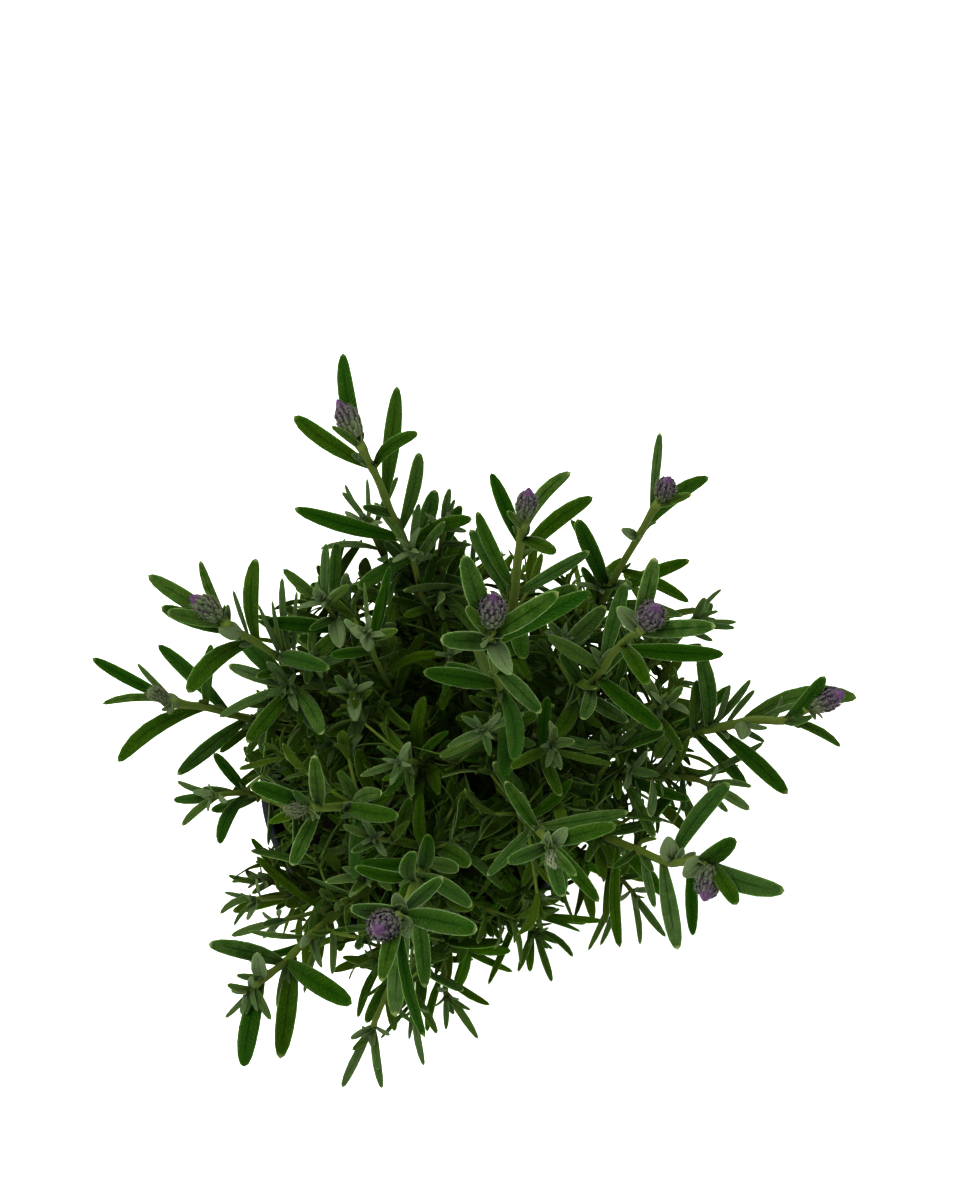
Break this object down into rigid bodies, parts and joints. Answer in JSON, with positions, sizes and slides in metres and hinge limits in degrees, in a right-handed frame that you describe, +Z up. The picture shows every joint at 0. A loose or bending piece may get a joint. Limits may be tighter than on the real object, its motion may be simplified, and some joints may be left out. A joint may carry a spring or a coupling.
{
  "type": "potted lavender",
  "caption": "Young bushy lavender with narrow grey-green leaves and closed purple buds, growing in a round tapered black nursery pot.",
  "frame": {"origin": "centre of the pot's flat underside", "axes": "+Z up along the pot's axis, +Y towards the top edge of the picture, +X to its right"},
  "size_m": [0.2662, 0.2465, 0.3624],
  "materials": {
    "pot": "satin",
    "soil": "matte",
    "foliage": "matte",
    "bud": "matte"
  },
  "bodies": {
    "root": {"bud_bottom": "bud", "bud_far_left": "bud", "bud_far_right": "bud", "bud_left": "bud", "bud_left_inner": "bud", "bud_lower_middle": "bud", "bud_lower_right": "bud", "bud_middle": "bud", "bud_right": "bud", "bud_top_left": "bud", "bud_top_middle": "bud", "bud_top_right": "bud", "pot": "pot", "shoot_bottom_fringe_a": "foliage", "shoot_bottom_fringe_b": "foliage", "shoot_bottom_fringe_c": "foliage", "shoot_bottom_fringe_d": "foliage", "shoot_bottom_left": "foliage", "shoot_bottom_tip": "foliage", "shoot_inner_1": "foliage", "shoot_inner_2": "foliage", "shoot_inner_3": "foliage", "shoot_inner_4": "foliage", "shoot_inner_5": "foliage", "shoot_inner_6": "foliage", "shoot_inner_left": "foliage", "shoot_left_fringe_a": "foliage", "shoot_left_fringe_b": "foliage", "shoot_left_fringe_c": "foliage", "shoot_left_grey": "foliage", "shoot_left_lower": "foliage", "shoot_lower_left_a": "foliage", "shoot_lower_left_b": "foliage", "shoot_middle_left": "foliage", "shoot_middle_right": "foliage", "shoot_middle_star": "foliage", "shoot_right_dark": "foliage", "shoot_right_fringe_a": "foliage", "shoot_right_fringe_b": "foliage", "shoot_right_inner": "foliage", "shoot_top_fringe_a": "foliage", "shoot_top_fringe_b": "foliage", "shoot_upper_left_knob": "foliage", "shoot_upper_left_ovals": "foliage", "shoot_upper_middle": "foliage", "shoot_upper_right_inner": "foliage", "soil": "soil", "stem_bottom": "foliage", "stem_far_left": "foliage", "stem_far_right": "foliage", "stem_left": "foliage", "stem_left_inner": "foliage", "stem_lower_middle": "foliage", "stem_lower_right": "foliage", "stem_middle": "foliage", "stem_right": "foliage", "stem_top_left": "foliage", "stem_top_middle": "foliage", "stem_top_right": "foliage"}
  },
  "joints": []
}
